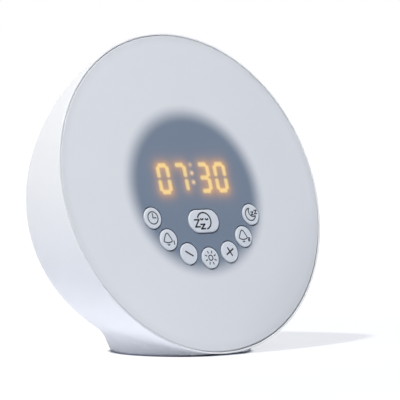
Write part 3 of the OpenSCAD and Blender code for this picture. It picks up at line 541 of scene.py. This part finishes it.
def lensLook():
    # White frost with the dark disc behind it, painted shade towards the edge and the far side, and a painted
    #     # shadow in the seam low at the right; the bars' cores, their haze and the dots are added as light
    look = Look("frostedLens", Specular_IOR_Level=0.35, Emission_Strength=1.0)
    g, f, black = glow, frost, (0, 0, 0)
    u, v = look.onFace()
    beside, rise, fromMiddle = u - f["discU"], v - f["discV"], (u * u + v * v) ** 0.5
    fromDisc = (beside * beside + rise * rise) ** 0.5
    disc = look.step(fromDisc, f["discR"] - f["soft"], f["discR"] + f["soft"], 1.0, 0.0)
    gaps = [barGap(kind, u - middle, v - g["middle"]) for middle, kinds in g["digits"] for kind in kinds]
    haze = total([(gap * (1 / g["spread"])).fade() for gap in gaps])
    haze = 1 - (haze * g["fill"]).fade()
    core = look.step(total([look.step(gap, g["coreIn"], g["coreOut"], 1.0, 0.0) for gap in gaps]), 0.0, 1.0)
    dots = total([dotGlow(u - dotU, v - dotV) * strength for dotU, dotV, strength in g["dots"]])
    cloud = look.noise(f["cloudSize"], 1.0)
    plain = look.blend(cloud, tuple(c * f["cloudDark"] for c in tint["lens"]), tint["lens"])
    # Painted shade: darker towards the rim
    edge = look.step(fromMiddle, f["edgeFrom"], f["edgeTo"], 1.0, 1 - f["edgeShade"])
    # Painted shade: darker towards the far side
    side = look.step(u - v, f["sideFrom"], f["sideTo"], 1.0, 1 - f["farSideShade"])
    # Painted shadow in the seam, strongest low at the right
    lowRight = look.step(u * f["seamWay"][0] + v * f["seamWay"][1], *f["seamSide"], 0.0, f["seamShadowDark"])
    seamShadow = look.step(fromMiddle, f["seamFrom"], f["seamTo"]) * lowRight
    # The painted shade and the painted seam shadow darken the frost's own colour
    plain = look.blend(edge * side * (1 - seamShadow), black, plain)
    plain = look.blend(disc, plain, tint["disc"])
    # Where the haze lies, the base colour turns warm grey: painted glow of the lit bars
    look.put("Base Color", look.blend(haze, plain, tint["hazeGlowTint"]))
    light = look.blend(haze, black, tint["haze"])
    light = look.blend(1.0, light, look.blend(core, black, tint["core"]), "ADD")
    light = look.blend(1.0, light, look.blend(dots, black, tint["dot"]), "ADD")
    look.put("Emission Color", light)
    look.put("Roughness", f["rough"] + cloud * f["roughSwing"])
    look.bump(look.noise(f["grain"], 2.0), f["depth"])
    return look


lensPiece, frostedLens = makeLens(), lensLook()
dress(lensPiece, frostedLens, "head", ["diffuser_lens"])
print("lens:", len(lensPiece.data.polygons), "faces")


def keyRows(top):
    # Outline of a cap as inset and depth: a quarter circle for its edge, down its side and round its
    # flange
    k = keys
    soft = arcPoints((k["edge"], top - k["edge"]), k["edge"], 90, 180, 6)
    low = k["flangeTop"] - k["flangeDeep"]
    return [*soft, (0, k["flangeTop"]), (-k["flange"], k["flangeTop"]), (-k["flange"], low)]


def makeKeys(look):
    # Round caps are turned on their own axis; the long one is a stack of stadium rings with a round stem
    k = keys
    low = k["flangeTop"] - k["flangeDeep"]
    stemEnd = [[k["stem"], low], [k["stem"], k["plungerTop"]]]
    for i, name in enumerate(roundNames):
        top = domeZ(k["arc"]) + k["proud"]
        rows = [[k["radius"] - inset, depth] for inset, depth in keyRows(top)]
        face = [[r, top] for r in k["faceRows"]]
        piece = rod("cap_" + name, face + rows + stemEnd, *keyPlace(i), k["columns"])
        dress(piece, look, "button_" + name, ["button_" + name])
    top = domeZ(k["drop"]) + k["proud"]
    rows = [(k["pillInset"], top), *keyRows(top), (k["pillInset"], low)]
    piece = loft("cap_snooze", pillRings(rows, k["drop"], k["length"], k["height"]), "flat")
    stem = rod("stem", [[k["stem"], low + k["stemSunk"]], stemEnd[1]], 0, -k["drop"], 48)
    dress(carve(piece, stem, "UNION"), look, "button_snooze", ["button_snooze"])


buttonFace = moulded("buttonFace", linear(220, 224, 230), rough=0.4, grain=0.25, depth=0.004, drift=0.01)
makeKeys(buttonFace)
print("buttons made")


# Symbols printed on the buttons, in mm from a button's middle
symbol = dict(thin=0.56, bold=0.82, high=0.05, sunk=0.04, clockR=3.2, headR=4.4)


def line(*corners):
    # Straight strokes from corner to corner
    return [np.array([start, stop], float) for start, stop in zip(corners, corners[1:])]


def zed(u, v, width, height):
    # Letter z from its upper left corner
    return line((u, v), (u + width, v), (u, v - height), (u + width, v - height))


def circle(u, v, radius):
    return [arcPoints((u, v), radius, 0, 360, 41)]


def bell(mark):
    # Sides fall from the crown and flare out: width grows with s, height falls with its power
    s = np.linspace(-1, 1, 31)
    side = np.stack([-0.7 + 2.7 * s * (0.62 + 0.38 * s * s), 3.3 - 3.9 * abs(s) ** 2.6], -1)
    bottom = arcPoints((-0.7, 3.6), 5.2, 237, 303, 15)
    return [side, bottom, arcPoints((-0.7, -2.1), 0.75, 200, 340, 9), *mark]


def rays(inner, outer):
    # Eight short strokes that point outwards, evenly round a ring
    return list(np.stack([arcPoints((0, 0), radius, 22.5, 337.5, 8) for radius in (inner, outer)], 1))


def crescent():
    # A large arc closed by a smaller one that bites into it
    outer, inner = arcPoints((-0.4, 0), 3.3, 96, 347, 41), arcPoints((1.3, 1.5), 2.7, 304, 139, 31)
    return [np.vstack([outer, inner, outer[:1]])]


symbols = dict(
    clock=(circle(0, 0, symbol["clockR"]) + line((0, 2.2), (0, 0), (1.9, 0)), "thin"),
    alarm_1=(bell(line((3.1, -0.9), (3.1, -2.5))), "thin"),
    alarm_2=(bell(line((2.6, -0.9), (3.5, -0.9), (3.5, -1.7), (2.6, -1.7), (2.6, -2.5), (3.5, -2.5))),
             "thin"),
    minus=(line((-2.05, 1.2), (2.05, -1.2)), "bold"),
    plus=(line((-2.25, -1.35), (2.25, 1.35)) + line((-1.05, 1.95), (1.05, -1.95)), "bold"),
    light=(circle(0, 0, 1.35) + rays(2.7, 3.6), "thin"),
    sleep=(crescent() + zed(0.2, 1.2, 1.4, 1.5) + zed(2.5, 2.0, 1.5, 1.8), "thin"),
    snooze=([arcPoints((0, 0), symbol["headR"], 157, -78, 49), arcPoints((-1.4, 1.6), 0.9, 190, 350, 11),
             arcPoints((1.8, 1.5), 0.9, 190, 350, 11)]
            + zed(-6.3, 0.7, 2.9, 3.7) + zed(-2.6, -1.8, 2.5, 2.3), "bold"))


def ribbon(path, width, place, top):
    # Flat band along a path: half a width to each side of it, from just under the cap's face to just over it
    run = np.gradient(path, axis=0)
    run /= np.linalg.norm(run, axis=1, keepdims=True)
    if len(path) == 2:
        path = path + run * [[-width / 2], [width / 2]]
    aside = np.stack([-run[:, 1], run[:, 0]], -1) * width / 2
    low, high = top - symbol["sunk"], top + symbol["high"]
    edges = [(path + aside, low), (path - aside, low), (path - aside, high), (path + aside, high)]
    return loft("symbol", np.stack([onFace(*(edge + place).T, depth) for edge, depth in edges], 1), "flat")


def makeSymbols(look):
    # Each symbol's strokes become one piece, which rides with its button
    for name, (strokes, weight) in symbols.items():
        isSnooze = name == "snooze"
        place = (0, -keys["drop"]) if isSnooze else keyPlace(roundNames.index(name))
        top = float(domeZ(keys["drop"] if isSnooze else keys["arc"])) + keys["proud"]
        bands = [ribbon(np.asarray(path), symbol[weight], np.array(place), top) for path in strokes]
        piece = joined(bands)
        piece.name = "symbol_" + name
        dress(piece, look, "button_" + name)


makeSymbols(moulded("symbolPrint", linear(20, 23, 32), rough=0.5, grain=0.3, depth=0.003))
print("symbols printed")


board = dict(waves=3.1, trackFrom=0.82, trackTo=0.95, patch=9, patchFrom=0.48, patchTo=0.52, depth=0.03,
             rough=0.3)


def boardLook(name, colour, trace):
    # Circuit board: fine parallel tracks where a sine wave peaks, in patches, under a glossy lacquer
    look = Look(name, Roughness=board["rough"], Specular_IOR_Level=0.5)
    wave = look.node("Math", dict(operation="SINE"), {0: look.onFace()[0] * board["waves"]})
    track = look.step(abs(wave), board["trackFrom"], board["trackTo"])
    patch = look.step(look.noise(board["patch"], 1.0), board["patchFrom"], board["patchTo"])
    look.put("Base Color", look.blend(track * patch, colour, trace))
    look.bump(track * patch, board["depth"])
    return look


looks = dict(
    tray_white=moulded("trayWhite", linear(244, 244, 242), 0.5),
    carrier_grey=moulded("carrierGrey", linear(52, 56, 66), 0.6),
    switch_steel=metal("switchSteel", (0.72, 0.72, 0.73), 0.28),
    display_black=moulded("displayBlack", (0.012, 0.012, 0.014), 0.35),
    board_green=boardLook("boardGreen", (0.012, 0.11, 0.04), (0.03, 0.2, 0.08)),
    board_white=boardLook("boardWhite", (0.75, 0.76, 0.76), (0.62, 0.63, 0.62)),
    chip_black=moulded("chipBlack", (0.02, 0.02, 0.022), 0.5, 0.2, 0.01),
    can_tin=metal("canTin", (0.66, 0.67, 0.68), 0.25),
    capacitor_blue=moulded("capacitorBlue", (0.01, 0.02, 0.09), 0.3),
    socket_ivory=moulded("socketIvory", (0.72, 0.68, 0.56), 0.45),
    lead_grey=moulded("leadGrey", (0.28, 0.29, 0.3), 0.5),
    lead_red=moulded("leadRed", (0.4, 0.02, 0.02), 0.45),
    basket_steel=metal("basketSteel", (0.4, 0.41, 0.42), 0.4),
    magnet_ferrite=moulded("magnetFerrite", (0.05, 0.05, 0.055), 0.55, 0.6, 0.03),
    cone_paper=moulded("conePaper", (0.02, 0.02, 0.02), 0.85, 0.5, 0.08),
    gasket_foam=moulded("gasketFoam", (0.015, 0.015, 0.015), 0.95, 0.6, 0.15),
    inlet_black=moulded("inletBlack", (0.02, 0.02, 0.021), 0.4),
    contact_steel=metal("contactSteel", (0.7, 0.7, 0.68), 0.2),
    pad_rubber=moulded("padRubber", (0.06, 0.06, 0.062), 0.8, 0.4, 0.03),
    screw_steel=metal("screwSteel", (0.55, 0.55, 0.56), 0.3),
    plunger_black=moulded("plungerBlack", (0.02, 0.02, 0.022), 0.5),
    shell_white=shellWhite, button_face=buttonFace, lens_frosted=frostedLens)


def barLook():
    # Lit bar: amber that is brighter in soft lumps
    look = Look("digitAmber", Roughness=0.4, Emission_Strength=1.0, Base_Color=(0.5, 0.2, 0.03))
    lumps = look.noise(2.5, 1.0)
    look.put("Emission Color", look.blend(lumps, (0.9, 0.42, 0.06), (1.0, 0.62, 0.16)))
    return look


def chipLook():
    # Light chip: yellow phosphor with a fine grain
    look = Look("ledPhosphor", Roughness=0.5)
    grain = look.noise(0.4, 2.0)
    look.put("Base Color", look.blend(grain, (0.75, 0.6, 0.12), (0.85, 0.78, 0.25)))
    look.bump(grain, 0.02)
    return look


cell = dict(bandFrom=18.5, bandTo=18.7, metallic=0.8, sleeve=(0.02, 0.06, 0.3), band=(0.7, 0.7, 0.72))


def cellLook():
    # Wrap of a cell: blue sleeve with a silver band near both ends
    look = Look("cellWrap", Roughness=0.3)
    along = look.node("SeparateXYZ", {}, dict(Vector=look.spot()), 0) * (1 / mm)
    band = look.step(abs(along), cell["bandFrom"], cell["bandTo"])
    look.put("Base Color", look.blend(band, cell["sleeve"], cell["band"]))
    look.put("Metallic", band * cell["metallic"])
    look.bump(look.noise(0.6), 0.01)
    return look


looks.update(digit_amber=barLook(), led_phosphor=chipLook(), cell_wrap=cellLook())
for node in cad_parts.values():
    for holder in node.material_slots:
        holder.material = looks[holder.material.name.split(".")[0]].material
print("finishes given")


# High soft key from the left, a sky that pales towards the top, and a white floor
studio = dict(lamps=(("key", -79.0, 59.0, 0.8, 4.5, (1.0, 0.99, 0.95)),  # side, up, power, softness, colour
                     ("fill", 15.0, 50.0, 0.11, 40.0, (0.9, 0.95, 1.0))),
              horizon=0.04, zenith=0.5, sky=(0.79, 0.86, 1.0), floorHalf=12000.0, floor=(0.80, 0.82, 0.88),
              white=(1.069, 1.074, 1.1), lift=0.655, liftFrom=35.5, liftTo=38.5, rightward=(0.76, -0.65),
              sideFrom=2.0, sideTo=34.0, farFrom=180.0, farTo=500.0,
              bounce=(0.235, 0.245, 0.285), bounceFrom=15.0, bounceTo=55.0, bounceEnd=75.0, bounceGone=210.0)


def floorLook():
    # The camera sees a white floor that keeps the long shadow at the right; other rays also get some light
    # from the part of it at the left
    s = studio
    look = Look("paleFloor", Roughness=0.9, Specular_IOR_Level=0.0, Base_Color=s["floor"],
                Emission_Strength=1.0)
    seen = look.node("LightPath", output="Is Camera Ray")
    seen = seen.atLeast(look.node("LightPath", output="Is Glossy Ray"))
    spot = [look.node("SeparateXYZ", {}, dict(Vector=look.spot()), axis) * (1 / mm) for axis in (0, 1)]
    behind = spot[1] - footY
    away = (spot[0] * spot[0] + behind * behind) ** 0.5
    rightward = spot[0] * s["rightward"][0] + behind * s["rightward"][1]
    side = look.step(rightward, s["sideFrom"], s["sideTo"])
    whole = look.step(away, s["farFrom"], s["farTo"], 0.0, 1 - s["lift"])
    lift = look.step(away, s["liftFrom"], s["liftTo"]) * (1 - side * (1 - s["lift"] - whole)) * seen
    atLeft = look.step(spot[0] * -1, s["bounceFrom"], s["bounceTo"])
    glowing = atLeft * look.step(away, s["bounceEnd"], s["bounceGone"], 1.0, 0.0)
    look.put("Emission Color", look.blend(glowing * (1 - seen), (0, 0, 0), s["bounce"]))
    white = look.node("Emission", {}, dict(Color=(*s["white"], 1), Strength=1.0))
    shown = look.node("MixShader", {}, {0: lift, 1: Wire(look, look.shader.outputs[0]), 2: white})
    look.feed(look.tree.nodes["Material Output"].inputs["Surface"], shown)
    return look


def makeStudio():
    # A flat floor, two far lamps, and a sky that pales with height but is white to camera and glossy rays
    reach = studio["floorHalf"] * mm
    floor = bpy.data.meshes.new("floor")
    floor.from_pydata([(x * reach, y * reach, 0) for x, y in ((-1, -1), (1, -1), (1, 1), (-1, 1))],
                      [], [(0, 1, 2, 3)])
    ground = bpy.data.objects.new("floor", floor)
    bpy.context.scene.collection.objects.link(ground)
    floor.materials.append(floorLook().material)
    for name, side, up, power, soft, colour in studio["lamps"]:
        side, up = math.radians(side), math.radians(up)
        towards = Vector((math.sin(side) * math.cos(up), -math.cos(side) * math.cos(up), math.sin(up)))
        lampData = bpy.data.lights.new(name, "SUN")
        lampData.angle, lampData.energy, lampData.color = math.radians(soft), power * math.pi, colour
        lamp = bpy.data.objects.new(name, lampData)
        bpy.context.scene.collection.objects.link(lamp)
        lamp.rotation_euler = (-towards).to_track_quat("-Z", "Y").to_euler()
    world = bpy.data.worlds.new("studio")
    bpy.context.scene.world = world
    world.use_nodes = True
    nodes, links = world.node_tree.nodes, world.node_tree.links

    def made(kind, **values):
        node = nodes.new("ShaderNode" + kind)
        for name, value in values.items():
            node.inputs[name.replace("_", " ")].default_value = value
        return node

    spot, parts, seen, nearer = made("TexCoord"), made("SeparateXYZ"), made("LightPath"), made("Math")
    height = made("MapRange", From_Min=0.0, From_Max=1.0, To_Min=studio["horizon"], To_Max=studio["zenith"])
    light, white, mix = nodes["Background"], made("Background", Color=(1, 1, 1, 1)), made("MixShader")
    nearer.operation = "MAXIMUM"
    light.inputs["Color"].default_value = (*studio["sky"], 1)
    for start, end in ((spot.outputs["Generated"], parts.inputs[0]),
                       (parts.outputs[2], height.inputs["Value"]),
                       (height.outputs[0], light.inputs["Strength"]),
                       (seen.outputs["Is Camera Ray"], nearer.inputs[0]),
                       (seen.outputs["Is Glossy Ray"], nearer.inputs[1]),
                       (nearer.outputs[0], mix.inputs[0]),
                       (light.outputs[0], mix.inputs[1]),
                       (white.outputs[0], mix.inputs[2]),
                       (mix.outputs[0], nodes["World Output"].inputs["Surface"])):
        links.new(start, end)


makeStudio()
print("floor and light set")
